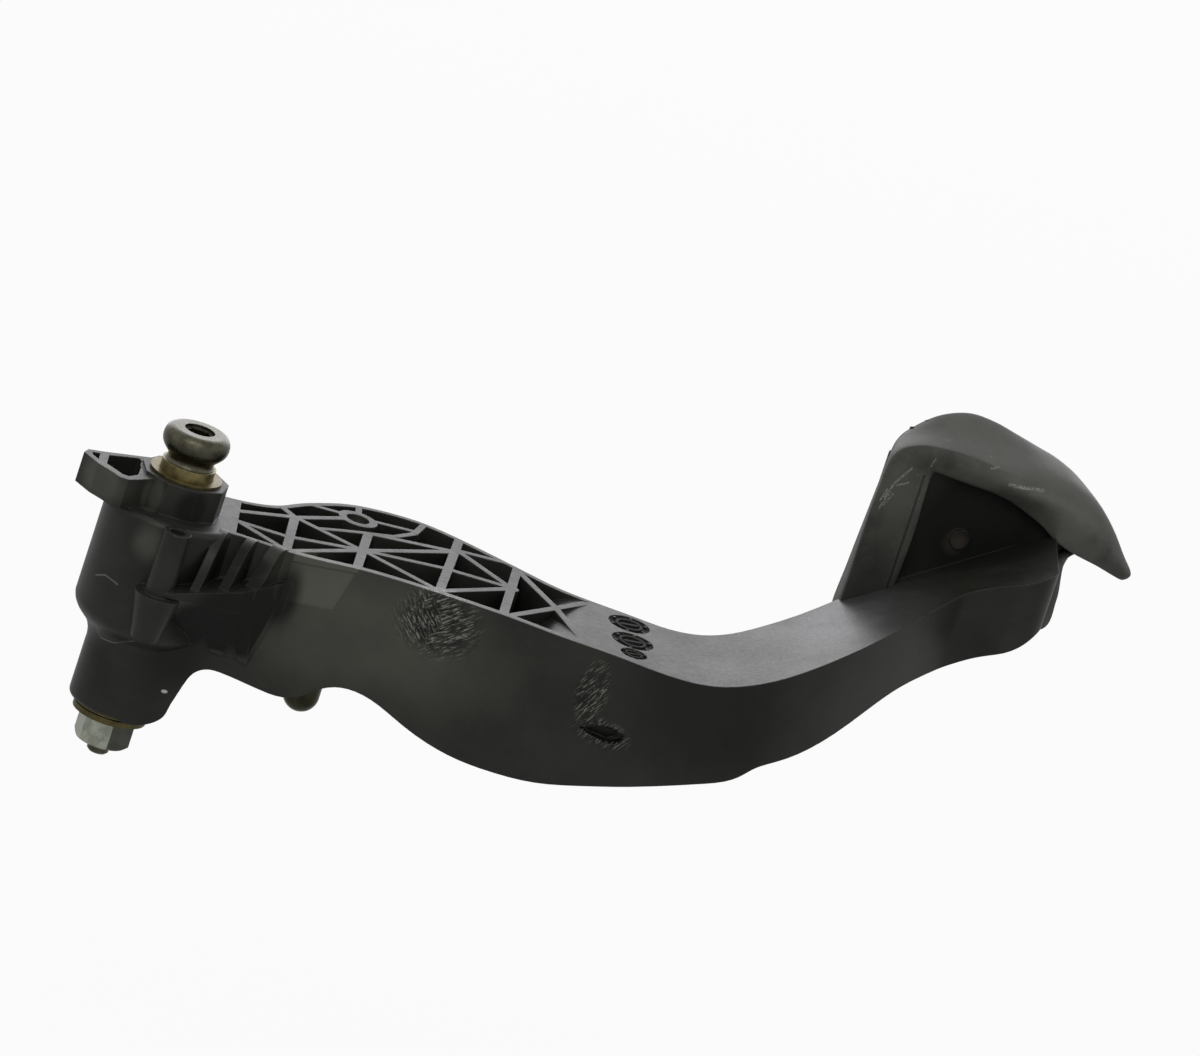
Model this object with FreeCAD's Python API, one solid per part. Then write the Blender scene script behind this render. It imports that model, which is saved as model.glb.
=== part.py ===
import FreeCAD, Part
import math
import os

V = FreeCAD.Vector

# Levels along the pivot axis, measured from the open face of the lattice (the deck).
hub_top = 11.0
hub_bottom = -73.0
flange_thick = 1.0
end_play = 0.2
sleeve_stand = 3.4
washer_thick = 2.0
nut_height = 10.0
bolt_point = 4.0
head_top = 27.3

# Pivot radii.
shank_radius = 5.0
shank_gap = 0.1
sleeve_radius = 9.2
running_gap = 0.04
bush_wall = 1.6
bush_length = 14.0
flange_radius = 12.3
washer_radius = 12.6
nut_across_flats = 17.0
nut_turn = 48.0
head_radius = 11.3
neck_radius = 7.9
socket_flats = 8.0
socket_mouth = 5.2
socket_depth = 6.0
dog_radius = 3.7
dog_length = 3.0

# Hub moulding.
collar_radius = 15.0
collar_flats = 9
barrel_radius = 23.2
barrel_edge = 2.0
tube_radius = 15.2
ear_top = 10.0
ear_bottom = -0.5
ear_pocket_floor = -30.0
stub_x = 4.0
stub_y = -27.6
stub_radius = 4.7
stub_bore = 2.8
stub_top = 0.5
stub_base_radius = 8.0
stub_base_level = -22.0
stub_root_level = -38.0

# Arm moulding.
near_wall = 3.0
far_wall = 2.2
floor_thick = 3.5
lid_thick = 3.5
cross_rib = 3.2
fan_rib = 2.6
thin_rib = 2.2
ramp_start = 160.0
ramp_run = 52.0
ramp_slope = 0.54
lattice_end = 139.5
web_foot = 101.0
web_curve = [(113.0, -20.0), (119.0, -12.2), (125.0, -6.2), (131.5, -2.1)]
web_run = 4.5

# Push-rod pin and its boss.
pin_x = 57.9
pin_y = 46.3
pin_radius = 6.2
pin_seat = 6.5
pin_spigot = 4.0
pin_step = -30.0
pin_top = -2.0
pin_tip = -70.5
boss_top_radius = 6.8
boss_low_radius = 8.8
boss_bottom = -50.0

# Foot plate and rubber pad, in a frame standing on the back face of the rubber.
pad_centre = V(251.0, 90.0, 48.0)
pad_turn = 28.9
plate_thick = 4.5
plate_setback = 6.0
plate_half_u = (-26.0, 38.0)
plate_half_z = (-26.0, 22.0)
rubber_gap = 0.4
lip_thick = 4.0
tread_thick = 5.3
flap_stand = 2.5
nub_radius = 3.4
nub_height = 1.8
dial_depth = 0.8
dial_ticks = 6
patch_depth = 0.5
gouge_depth = 1.4
groove_pitch = 4.6
groove_width = 1.8
groove_depth = 1.2

bolt_shoulder = hub_top + flange_thick + sleeve_stand
washer_top = hub_bottom - flange_thick - end_play
nut_top = washer_top - washer_thick
nut_bottom = nut_top - nut_height
bolt_end = nut_bottom - bolt_point
bush_inner = sleeve_radius + running_gap
bush_outer = bush_inner + bush_wall

# Plan of the arm, seen along the pivot axis: edge towards the engine, then edge towards the driver.
near_edge = [
    (0.0, -15.0), (7.7, -14.4), (20.0, -10.4), (39.1, -9.8), (51.0, -7.8), (64.4, -3.8), (78.1, -1.9),
    (105.8, -1.5), (119.8, -2.3), (133.9, -4.3), (147.9, -5.0), (161.9, -6.8), (175.9, -11.2),
    (189.2, -14.0), (201.4, -11.0), (213.0, -4.2), (224.0, 6.3), (234.8, 20.6), (245.4, 38.2),
    (255.0, 55.0), (259.0, 59.6), (264.0, 61.0), (269.0, 60.1), (274.0, 58.5),
]
end_corner = [(274.0, 58.5), (282.4, 60.6), (284.8, 69.0)]
end_side = (281.0, 112.0)
far_root = (232.0, 90.0)
far_edge = [
    (0.0, 23.0), (17.4, 25.5), (25.7, 28.8), (32.1, 33.9), (38.0, 42.6), (44.2, 49.8), (50.5, 56.0),
    (57.0, 60.1), (66.0, 63.0), (77.6, 64.0), (84.8, 62.6), (99.5, 56.8), (114.2, 49.9), (129.0, 43.3),
    (143.2, 41.0), (157.3, 39.5), (171.3, 38.0), (177.9, 38.9), (184.2, 41.8), (196.1, 52.9),
    (207.5, 64.6), (218.5, 76.4), (232.0, 90.0),
]

# Side elevation of the arm: its lower edge, from the hub foot to the foot plate.
foot_edge = [
    (0.0, -70.4), (15.6, -70.2), (17.8, -67.6), (18.6, -63.8), (19.6, -59.8), (20.9, -54.8), (23.0, -50.2),
    (26.4, -47.9), (31.8, -47.4), (45.4, -49.0), (53.0, -49.6), (58.5, -48.0), (64.1, -43.9), (70.2, -41.6),
    (77.1, -41.7), (84.7, -43.9), (92.8, -47.4), (100.6, -50.2), (115.5, -53.0), (129.4, -52.6),
    (143.0, -50.7), (155.7, -46.9), (168.4, -41.8), (193.1, -30.4), (204.8, -25.0), (208.2, -21.8),
    (215.8, -17.9), (226.6, -11.4), (236.5, -2.5), (246.4, 5.7), (257.3, 10.5), (268.8, 18.0),
    (280.5, 26.2), (285.0, 32.0), (290.0, 40.0),
]

# Rib lines of the lattice, in plan.
cross_ribs = [
    ((38.1, 27.3), (39.4, -10.0)), ((62.8, 36.0), (63.3, -4.0)), ((92.0, 61.0), (91.4, -2.0)),
    ((113.4, 50.0), (113.9, -2.5)),
]
fan_ribs = [
    ((19.5, 14.5), (38.1, 27.3)), ((20.0, 4.5), (38.5, 5.4)), ((20.0, 5.2), (39.4, -8.6)),
    ((31.0, 35.3), (38.1, 27.3)), ((38.5, 27.3), (53.5, 42.6)), ((38.5, 27.2), (62.6, 16.2)),
    ((38.8, 5.9), (62.6, 16.4)), ((39.6, -9.0), (62.8, 16.0)), ((63.0, 35.4), (91.8, 45.6)),
    ((62.8, 16.2), (91.8, 45.4)), ((62.9, 16.6), (91.5, 25.9)), ((62.9, 16.6), (91.4, 1.2)),
    ((92.0, 47.7), (112.0, 52.2)), ((92.0, 48.2), (113.6, 27.6)), ((91.6, 25.8), (113.6, 28.0)),
    ((91.4, 1.2), (113.6, 27.2)), ((113.4, 48.2), (129.7, 22.6)), ((113.9, -3.6), (129.7, 22.6)),
    ((129.7, 22.6), (140.4, 1.2)), ((129.7, 22.6), (138.5, 37.5)),
]
loop_ribs = [
    ((38.8, 44.6), (52.5, 47.0)), ((46.5, 23.6), (55.2, 30.2)), ((55.2, 30.2), (63.0, 35.6)),
    ((63.0, 35.4), (71.5, 41.0)), ((71.5, 41.0), (77.2, 50.2)), ((77.2, 50.2), (79.4, 63.5)),
    ((62.5, 49.0), (77.0, 52.6)), ((57.6, 50.0), (56.6, 61.0)),
]
under_ribs = [
    ((167.0, -8.0), (180.0, 40.0)), ((180.0, 40.0), (194.0, -13.0)), ((194.0, -13.0), (204.0, 61.0)),
    ((204.0, 61.0), (225.0, 7.0)), ((225.0, 7.0), (226.0, 84.0)), ((226.0, 84.0), (252.0, 50.0)),
]
gouge_outline = [
    (149.5, -27.6), (153.0, -26.2), (156.5, -24.6), (161.0, -23.8), (164.6, -25.0), (163.4, -27.4),
    (159.4, -29.6), (155.0, -29.2), (151.6, -28.8),
]
patch_outline = [(42.4, -2.6), (63.8, -1.6), (60.2, -16.2), (46.8, -16.2)]
dials = [(154.4, 30.4, 7.2), (157.2, 14.6, 7.2), (158.9, 2.6, 4.6)]

# Outlines of the rubber on its tread face and on its back lip, and of the unhooked corner.
tread_outline = [
    (-26.0, -40.0), (-31.2, -36.0), (-30.2, -10.0), (-29.2, 12.0), (-27.6, 23.6), (-18.0, 33.0),
    (-3.0, 36.6), (18.0, 31.2), (35.0, 25.2), (44.6, 18.0), (48.0, 4.0), (48.0, -26.0), (43.0, -34.0),
    (10.0, -37.0),
]
lip_outline = [
    (-28.0, -31.0), (-33.6, -26.0), (-34.4, -8.0), (-34.4, 12.0), (-33.4, 25.0), (-24.0, 29.6),
    (-2.0, 31.0), (14.0, 33.2), (27.0, 29.8), (38.0, 22.8), (42.8, 10.0), (43.0, -24.0), (41.0, -31.6),
    (8.0, -32.4),
]
flap_outline = [
    (4.0, 25.0), (14.0, 32.6), (26.0, 30.6), (36.0, 25.0), (46.0, 17.8), (57.0, 7.4), (64.6, -3.6),
    (64.2, -8.0), (61.0, -7.8), (53.0, -4.2), (42.6, -0.6), (31.0, 5.0), (18.0, 11.6), (9.0, 15.4),
]
mouth_outline = [
    (-17.6, -24.0), (-17.6, 19.2), (10.0, 14.4), (26.0, 7.8), (33.4, 3.4), (35.6, -2.0), (35.6, -24.0),
]
ear_outline = [
    (-12.0, 9.6), (-29.0, -1.2), (-33.0, -3.2), (-34.0, -7.4), (-28.3, -14.1), (-23.8, -17.3),
    (-19.9, -20.7), (-17.0, -20.7), (-13.5, -16.9), (-9.0, -11.0), (-6.0, 0.0),
]
ear_window = [
    (-25.9, -2.4), (-16.4, 4.2), (-14.6, 1.5), (-14.6, -12.6), (-17.2, -17.0), (-19.4, -17.0),
    (-22.6, -14.2), (-25.6, -11.6),
]
ear_slot = [(-31.4, -4.8), (-28.9, -3.6), (-28.6, -9.9), (-31.2, -7.0)]


def plan_edge(points):
    curve = Part.BSplineCurve()
    curve.interpolate([V(x, y, 0) for x, y in points])
    return curve.toShape()


def side_edge(points):
    curve = Part.BSplineCurve()
    curve.interpolate([V(x, 0, z) for x, z in points])
    return curve.toShape()


def line(a, b):
    return Part.makeLine(a, b)


def polygon(points):
    return Part.Face(Part.makePolygon(points + [points[0]]))


def plan_prism(points, z_low, z_high):
    return polygon([V(x, y, z_low) for x, y in points]).extrude(V(0, 0, z_high - z_low))


def shifted(points, distance):
    moved = []
    for i, point in enumerate(points):
        before = points[max(i - 1, 0)]
        after = points[min(i + 1, len(points) - 1)]
        dx = after[0] - before[0]
        dy = after[1] - before[1]
        size = math.hypot(dx, dy)
        moved.append((point[0] - dy / size * distance, point[1] + dx / size * distance))
    return moved


def strip(start, end, thick, z_low, z_high):
    dx = end[0] - start[0]
    dy = end[1] - start[1]
    size = math.hypot(dx, dy)
    nx = -dy / size * thick / 2
    ny = dx / size * thick / 2
    corners = [(start[0] + nx, start[1] + ny), (end[0] + nx, end[1] + ny)]
    corners += [(end[0] - nx, end[1] - ny), (start[0] - nx, start[1] - ny)]
    return plan_prism(corners, z_low, z_high)


def revolved(points):
    wire = Part.makePolygon([V(r, 0, z) for r, z in points + [points[0]]])
    return Part.Face(wire).revolve(V(0, 0, 0), V(0, 0, 1), 360)


def cylinder(radius, z_low, z_high, x=0.0, y=0.0):
    return Part.makeCylinder(radius, z_high - z_low, V(x, y, z_low))


def lid_edges(drop, x_end):
    angle = math.atan(ramp_slope)
    radius = ramp_run / math.sin(angle)
    rise = radius * (1 - math.cos(angle))
    middle_x = ramp_start + radius * math.sin(angle / 2)
    middle_z = radius * (1 - math.cos(angle / 2)) - drop
    knee = V(ramp_start, 0, -drop)
    top = V(ramp_start + ramp_run, 0, rise - drop)
    far = V(x_end, 0, rise - drop + ramp_slope * (x_end - ramp_start - ramp_run))
    arc = Part.Arc(knee, V(middle_x, 0, middle_z), top).toShape()
    return arc, line(top, far), knee, far


def side_prism(edges):
    face = Part.Face(Part.Wire(Part.__sortEdges__(edges)))
    face.translate(V(0, -60, 0))
    return face.extrude(V(0, 240, 0))


def plan_outline(near, far, corner, side, root):
    start = line(V(far[0][0], far[0][1], 0), V(near[0][0], near[0][1], 0))
    turn = Part.Arc(*[V(x, y, 0) for x, y in corner]).toShape()
    end = line(V(corner[2][0], corner[2][1], 0), V(side[0], side[1], 0))
    back = line(V(side[0], side[1], 0), V(root[0], root[1], 0))
    return Part.Wire(Part.__sortEdges__([start, plan_edge(near), turn, end, back, plan_edge(far)]))


def arm_outer():
    wire = plan_outline(near_edge, far_edge, end_corner, end_side, far_root)
    face = Part.Face(wire)
    face.translate(V(0, 0, -90))
    plan = face.extrude(V(0, 0, 190))
    arc, slope, knee, far = lid_edges(0.0, foot_edge[-1][0])
    start = V(foot_edge[0][0], 0, 0)
    low = V(foot_edge[0][0], 0, foot_edge[0][1])
    tail = V(foot_edge[-1][0], 0, foot_edge[-1][1])
    edges = [side_edge(foot_edge), line(low, start), line(start, knee), arc, slope, line(far, tail)]
    side = side_prism(edges)
    return plan.common(side)


def inner_plan(x_low, x_high):
    near = [p for p in shifted(near_edge, near_wall) if x_low <= p[0] <= x_high]
    far = [p for p in shifted(far_edge, -far_wall) if x_low <= p[0] <= x_high]
    first = line(V(far[0][0], far[0][1], 0), V(near[0][0], near[0][1], 0))
    last = line(V(near[-1][0], near[-1][1], 0), V(far[-1][0], far[-1][1], 0))
    face = Part.Face(Part.Wire(Part.__sortEdges__([first, plan_edge(near), last, plan_edge(far)])))
    face.translate(V(0, 0, -90))
    return face.extrude(V(0, 0, 190))


def lattice_pockets():
    floor = [(x, z + floor_thick) for x, z in foot_edge if 23.0 <= x <= web_foot]
    first = V(floor[0][0] - 4.0, 0, floor[0][1])
    edges = [
        line(V(floor[0][0], 0, floor[0][1]), first), side_edge(floor),
        line(V(floor[-1][0], 0, floor[-1][1]), V(web_curve[0][0], 0, web_curve[0][1])),
        side_edge(web_curve + [(lattice_end, 0)]),
        line(V(lattice_end, 0, 0), V(lattice_end, 0, 5.0)),
        line(V(lattice_end, 0, 5.0), V(first.x, 0, 5.0)), line(V(first.x, 0, 5.0), first),
    ]
    space = inner_plan(16.0, 190.0).common(side_prism(edges))
    half = cross_rib / 2
    root = plan_prism([(0.0, 40.0), (17.2 + half, 40.0), (21.0 + half, -20.0), (0.0, -20.0)], -90, 20)
    solids = [strip(a, b, cross_rib, -70, 10) for a, b in cross_ribs]
    solids += [strip(a, b, fan_rib, -70, 10) for a, b in fan_ribs]
    solids += [strip(a, b, thin_rib, -70, 10) for a, b in loop_ribs]
    solids.append(cylinder(boss_top_radius, -70, 10, pin_x, pin_y))
    solids.append(cylinder(boss_low_radius, -70, pin_step + 3, pin_x, pin_y))
    for node in [(62.9, 16.4), (113.6, 27.6)]:
        solids.append(cylinder(2.6, -70, 10, node[0], node[1]))
    return space.cut([root] + solids)


def lid_hollow():
    arc, slope, knee, far = lid_edges(lid_thick, 262.0)
    web_low = V(web_foot + web_run, 0, -60.0)
    under = [(x + web_run, z - web_run) for x, z in web_curve]
    web_turn = V(under[0][0], 0, under[0][1])
    web_high = V(lattice_end + web_run, 0, -lid_thick)
    edges = [
        line(V(far.x, 0, -60.0), far), slope, arc, line(knee, web_high),
        side_edge(under + [(web_high.x, web_high.z)]),
        line(web_turn, web_low), line(web_low, V(far.x, 0, -60.0)),
    ]
    space = inner_plan(110.0, 256.0).common(side_prism(edges))
    keep = []
    for a, b in under_ribs:
        keep.append(strip(a, b, fan_rib, -70, 70))
    return space.cut(keep)


def hub_body():
    shoulder = [(barrel_radius, -37.0), (22.8, -39.4), (20.3, -42.9), (17.4, -45.6), (15.8, -48.6)]
    shoulder.append((tube_radius, -53.0))
    edge = barrel_edge
    round_low = 2.0
    bulge = 1 - math.sqrt(0.5)
    middle = V(barrel_radius - bulge * edge, 0, -bulge * edge)
    top = Part.Arc(V(barrel_radius - edge, 0, 0), middle, V(barrel_radius, 0, -edge))
    low_x = tube_radius - round_low
    middle = V(tube_radius - bulge * round_low, 0, hub_bottom + bulge * round_low)
    low = Part.Arc(V(tube_radius, 0, hub_bottom + round_low), middle, V(low_x, 0, hub_bottom))
    edges = [
        line(V(0, 0, 0), V(barrel_radius - edge, 0, 0)), top.toShape(),
        line(V(barrel_radius, 0, -edge), V(barrel_radius, 0, -37.0)), side_edge(shoulder),
        line(V(tube_radius, 0, -53.0), V(tube_radius, 0, hub_bottom + round_low)), low.toShape(),
        line(V(low_x, 0, hub_bottom), V(0, 0, hub_bottom)), line(V(0, 0, hub_bottom), V(0, 0, 0)),
    ]
    body = Part.Face(Part.Wire(Part.__sortEdges__(edges))).revolve(V(0, 0, 0), V(0, 0, 1), 360)
    flats = []
    for i in range(collar_flats):
        angle = math.radians(360.0 / collar_flats * (i + 0.35))
        flats.append((collar_radius * math.cos(angle), collar_radius * math.sin(angle)))
    return body.fuse(plan_prism(flats, -4.0, hub_top))


def back_pockets():
    ring = cylinder(barrel_radius + 2, -34.0, -5.0).cut(cylinder(tube_radius + 1.5, -40.0, 0.0))
    rib = Part.makeBox(3.0, 60, 60, V(-1.5, 0, -50))
    ring = ring.cut(cylinder(barrel_radius - 3.0, -18.0, -15.0).fuse(rib))
    sector = plan_prism([(0, 0), (-30, 20), (-12, 45), (9, 45)], -60, 10)
    return ring.common(sector)


def corbel():
    top_z = -21.0
    low_z = -41.0
    top = [(-3, -12), (-3, -27), (1, -31.4), (8, -31.8), (14, -29.6), (30, -25.2), (35.5, -20), (47, -6)]
    low = [(15.5, -8), (15.6, -10.6), (16.5, -11.2), (18.5, -11.6), (21, -11.4), (30, -11.2)]
    low += [(38.5, -11.6), (40, -8)]
    wires = [Part.makePolygon([V(x, y, top_z) for x, y in top + top[:1]])]
    wires.append(Part.makePolygon([V(x, y, low_z) for x, y in low + low[:1]]))
    body = Part.makeLoft(wires, True, True).fuse(plan_prism(top, top_z, 0.0))
    slope = polygon([V(-12, -50, -24.6), V(60, -50, -5.5), V(60, -50, 8), V(-12, -50, 8)])
    body = body.cut(slope.extrude(V(0, 60, 0)))
    for left, right in [(19.6, 27.2), (29.4, 37.2)]:
        notch = polygon([V(left, -40, -44), V(right, -40, -44), V((left + right) / 2 - 2.0, -40, -33)])
        body = body.cut(notch.extrude(V(0, 29.6, 0)))
    ribs = [((18.6, -8.0), (14.9, -27.6), 3.0), ((28.4, -8.0), (23.7, -24.8), 3.2)]
    ribs.append(((38.2, -7.0), (32.3, -20.8), 4.6))
    for start, end, thick in ribs:
        dx = end[0] - start[0]
        dy = end[1] - start[1]
        size = math.hypot(dx, dy)
        shelf = -21.4 + 0.265 * end[0]
        curve = Part.BSplineCurve()
        tip = V(size, 0, shelf + 0.6)
        curve.interpolate([V(0, 0, 0), V(6.0, 0, -0.6), V(size * 0.62, 0, shelf * 0.42), tip])
        edges = [curve.toShape(), line(tip, V(size, 0, shelf - 3.0))]
        edges += [line(V(size, 0, shelf - 3.0), V(0, 0, -34.0)), line(V(0, 0, -34.0), V(0, 0, 0))]
        plate = Part.Face(Part.Wire(Part.__sortEdges__(edges)))
        plate.translate(V(0, -thick / 2, 0))
        plate = plate.extrude(V(0, thick, 0))
        plate.rotate(V(0, 0, 0), V(0, 0, 1), math.degrees(math.atan2(dy, dx)))
        plate.translate(V(start[0], start[1], 0))
        body = body.fuse(plate)
    return body


def pad_place(shape):
    turn = math.radians(pad_turn)
    c = math.cos(turn)
    s = math.sin(turn)
    o = pad_centre
    place = FreeCAD.Matrix(c, 0, s, o.x, s, 0, -c, o.y, 0, 1, 0, o.z, 0, 0, 0, 1)
    shape.Placement = FreeCAD.Placement(place)
    return shape


def rounded_wire(u_range, z_range, radius, w):
    u0, u1 = u_range
    z0, z1 = z_range
    k = radius * (1 - math.sqrt(0.5))
    r = radius
    starts = [V(u0 + r, z0, w), V(u1, z0 + r, w), V(u1 - r, z1, w), V(u0, z1 - r, w)]
    stops = [V(u1 - r, z0, w), V(u1, z1 - r, w), V(u0 + r, z1, w), V(u0, z0 + r, w)]
    middles = [V(u1 - k, z0 + k, w), V(u1 - k, z1 - k, w), V(u0 + k, z1 - k, w), V(u0 + k, z0 + k, w)]
    edges = []
    for i in range(4):
        edges.append(line(starts[i], stops[i]))
        edges.append(Part.Arc(stops[i], middles[i], starts[(i + 1) % 4]).toShape())
    return Part.Wire(edges)


def closed_wire(points, w):
    curve = Part.BSplineCurve()
    curve.interpolate([V(u, z, w) for u, z in points], PeriodicFlag=True)
    return Part.Wire([curve.toShape()])


def slab(u_range, z_range, radius, w_low, w_high):
    return Part.Face(rounded_wire(u_range, z_range, radius, w_low)).extrude(V(0, 0, w_high - w_low))


def foot_plate():
    plate = slab(plate_half_u, plate_half_z, 6.0, -plate_setback - plate_thick, -plate_setback)
    nub = Part.makeCylinder(nub_radius, nub_height + 1.0, V(2.0, -4.4, -plate_setback - 1.0))
    return pad_place(plate.fuse(nub))


def grown(pair, step):
    return (pair[0] - step, pair[1] + step)


def pad_cover(arm):
    depth = plate_setback + plate_thick + rubber_gap + tread_thick
    body = Part.makeLoft([closed_wire(tread_outline, -depth), closed_wire(lip_outline, 0.0)], True, True)
    room_low = -plate_setback - plate_thick - rubber_gap
    room_u = grown(plate_half_u, rubber_gap)
    room_z = grown(plate_half_z, rubber_gap)
    body = body.cut(slab(room_u, room_z, 6.4, room_low, -lip_thick))
    mouth = polygon([V(u, z, -lip_thick - 1.0) for u, z in mouth_outline])
    body = body.cut(mouth.extrude(V(0, 0, lip_thick + 3.0)))
    flap = Part.Face(closed_wire(flap_outline, -lip_thick + 0.5))
    body = body.fuse(flap.extrude(V(0, 0, lip_thick + flap_stand)))
    groove = tread_outline[2][0] + groove_pitch
    cuts = []
    while groove < tread_outline[10][0] - groove_pitch / 2:
        corner = V(groove - groove_width / 2, -45, -depth - 1)
        cuts.append(Part.makeBox(groove_width, 90, groove_depth + 1, corner))
        groove += groove_pitch
    body = body.cut(cuts)
    body = pad_place(body)
    return body.cut(arm)


def lever_solid():
    arm = arm_outer()
    hub = hub_body()
    body = arm.fuse(hub)
    body = body.cut(lattice_pockets())
    body = body.cut(lid_hollow())
    stub = cylinder(stub_radius, stub_base_level - 2.0, stub_top, stub_x, stub_y)
    height = stub_base_level - stub_root_level
    foot = V(stub_x, stub_y, stub_root_level)
    stub = stub.fuse(Part.makeCone(stub_radius, stub_base_radius, height, foot))
    boss = cylinder(boss_low_radius, boss_bottom, pin_step + 3, pin_x, pin_y)
    body = body.fuse([corbel(), plan_prism(ear_outline, ear_bottom, ear_top), stub])
    body = body.fuse([boss, foot_plate()])
    body = body.cut(back_pockets())
    bore = cylinder(bush_outer, hub_bottom - 1, hub_top + 1)
    barrel_room = cylinder(barrel_radius - near_wall, ear_pocket_floor - 1, ear_top)
    ear_room = plan_prism(ear_window, ear_pocket_floor, 0.0).common(barrel_room)
    ear_room = ear_room.fuse(plan_prism(ear_window, -0.1, ear_top + 1))
    ear_room = ear_room.cut(cylinder(tube_radius, ear_pocket_floor - 1, ear_top + 2))
    cuts = [bore, ear_room, plan_prism(ear_slot, ear_bottom - 1, ear_top + 1)]
    cuts.append(cylinder(stub_bore, stub_base_level + 2.0, stub_top + 1, stub_x, stub_y))
    cuts.append(cylinder(pin_spigot, pin_step - 1, 5, pin_x, pin_y))
    cuts.append(cylinder(pin_seat, boss_bottom - 1, pin_step, pin_x, pin_y))
    cuts += [dial(x, y, radius) for x, y, radius in dials]
    cuts += [wall_patch(), gouge()]
    return body.cut(cuts), arm


def dial(x, y, radius):
    well = cylinder(radius, -dial_depth, 2.0, x, y)
    ring = cylinder(radius * 0.66, -2.0, 3.0, x, y).cut(cylinder(radius * 0.52, -2.0, 3.0, x, y))
    keep = [ring]
    for i in range(dial_ticks):
        tick = Part.makeBox(radius * 0.16, radius * 0.14, 5.0, V(x + radius * 0.76, y - radius * 0.07, -2.0))
        tick.rotate(V(x, y, 0), V(0, 0, 1), 360.0 / dial_ticks * (i + 0.5))
        keep.append(tick)
    arrow = Part.makeBox(radius * 0.9, radius * 0.2, 5.0, V(x - radius * 0.45, y - radius * 0.1, -2.0))
    arrow.rotate(V(x, y, 0), V(0, 0, 1), 24)
    return well.cut(keep + [arrow])


def wall_patch():
    frame = polygon([V(x, -30.0, z) for x, z in patch_outline]).extrude(V(0, 60, 0))
    skin = [(x, y - 5.0) for x, y in near_edge if 15.0 < x < 95.0]
    face = [(x, y) for x, y in shifted(near_edge, patch_depth) if 15.0 < x < 95.0]
    ends = [line(V(skin[0][0], skin[0][1], -60), V(face[0][0], face[0][1], -60))]
    ends.append(line(V(face[-1][0], face[-1][1], -60), V(skin[-1][0], skin[-1][1], -60)))
    outer = plan_edge(skin)
    inner = plan_edge(face)
    outer.translate(V(0, 0, -60))
    inner.translate(V(0, 0, -60))
    slice_face = Part.Face(Part.Wire(Part.__sortEdges__([outer, ends[0], inner, ends[1]])))
    return frame.common(slice_face.extrude(V(0, 0, 80)))


def gouge():
    rim = Part.BSplineCurve()
    rim.interpolate([V(x, -14.0, z) for x, z in gouge_outline], PeriodicFlag=True)
    nick = Part.Face(Part.Wire([rim.toShape()])).extrude(V(0, 14.0 - 5.2 + gouge_depth, 0))
    nick.rotate(V(157, -6, -27), V(1, 0, 0), 16)
    return nick


def hexagon(corner, turn):
    angles = [math.radians(60 * i + turn) for i in range(6)]
    return [(corner * math.cos(a), corner * math.sin(a)) for a in angles]


def pivot_bolt():
    head_height = head_top - bolt_shoulder
    face_radius = head_radius * 0.76
    foot_radius = neck_radius * 1.09
    profile = [
        V(face_radius, 0, head_top), V(head_radius * 0.92, 0, head_top - head_height * 0.08),
        V(head_radius, 0, head_top - head_height * 0.27),
        V(head_radius * 0.965, 0, head_top - head_height * 0.52),
        V(head_radius * 0.815, 0, head_top - head_height * 0.7),
        V(neck_radius, 0, head_top - head_height * 0.86),
        V(neck_radius * 1.01, 0, bolt_shoulder + head_height * 0.07), V(foot_radius, 0, bolt_shoulder),
    ]
    curve = Part.BSplineCurve()
    curve.interpolate(profile)
    thread_end = bolt_end + dog_length
    tail = [V(foot_radius, 0, bolt_shoulder), V(shank_radius, 0, bolt_shoulder)]
    tail += [V(shank_radius, 0, thread_end + 1.2), V(shank_radius - 1.2, 0, thread_end)]
    tail += [V(dog_radius, 0, thread_end), V(dog_radius, 0, bolt_end + 0.8)]
    tail += [V(dog_radius - 0.8, 0, bolt_end), V(0, 0, bolt_end), V(0, 0, head_top)]
    tail.append(V(face_radius, 0, head_top))
    edges = [curve.toShape()] + [line(a, b) for a, b in zip(tail, tail[1:])]
    body = Part.Face(Part.Wire(Part.__sortEdges__(edges))).revolve(V(0, 0, 0), V(0, 0, 1), 360)
    corner = socket_flats / math.sqrt(3)
    body = body.cut(plan_prism(hexagon(corner, 0.0), head_top - socket_depth, head_top + 1))
    return body.cut(cylinder(socket_mouth, head_top - 1.2, head_top + 1))


def tube(outer, inner, z_low, z_high):
    return cylinder(outer, z_low, z_high).cut(cylinder(inner, z_low - 1, z_high + 1))


def bush(seat, inward):
    out = seat - inward * flange_thick
    far = seat + inward * bush_length
    body = tube(bush_outer, bush_inner, min(out, far), max(out, far))
    return body.fuse(tube(flange_radius, bush_inner, min(out, seat), max(out, seat))).removeSplitter()


def lock_nut():
    corner = nut_across_flats / math.sqrt(3)
    body = plan_prism(hexagon(corner, nut_turn), nut_bottom, nut_top)
    half = nut_across_flats / 2
    ease = revolved([
        (0, nut_bottom), (half, nut_bottom), (corner + 0.2, nut_bottom + 1.4),
        (corner + 0.2, nut_top - 1.4), (half, nut_top), (0, nut_top),
    ])
    return body.common(ease).cut(cylinder(shank_radius, nut_bottom - 1, nut_top + 1))


def pushrod_pin():
    low = pin_tip + pin_radius
    body = cylinder(pin_radius, low, boss_bottom + 1, pin_x, pin_y)
    body = body.fuse(Part.makeSphere(pin_radius, V(pin_x, pin_y, low)))
    body = body.fuse(cylinder(pin_seat, boss_bottom, pin_step, pin_x, pin_y))
    return body.fuse(cylinder(pin_spigot, pin_step - 1, pin_top, pin_x, pin_y)).removeSplitter()


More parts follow.
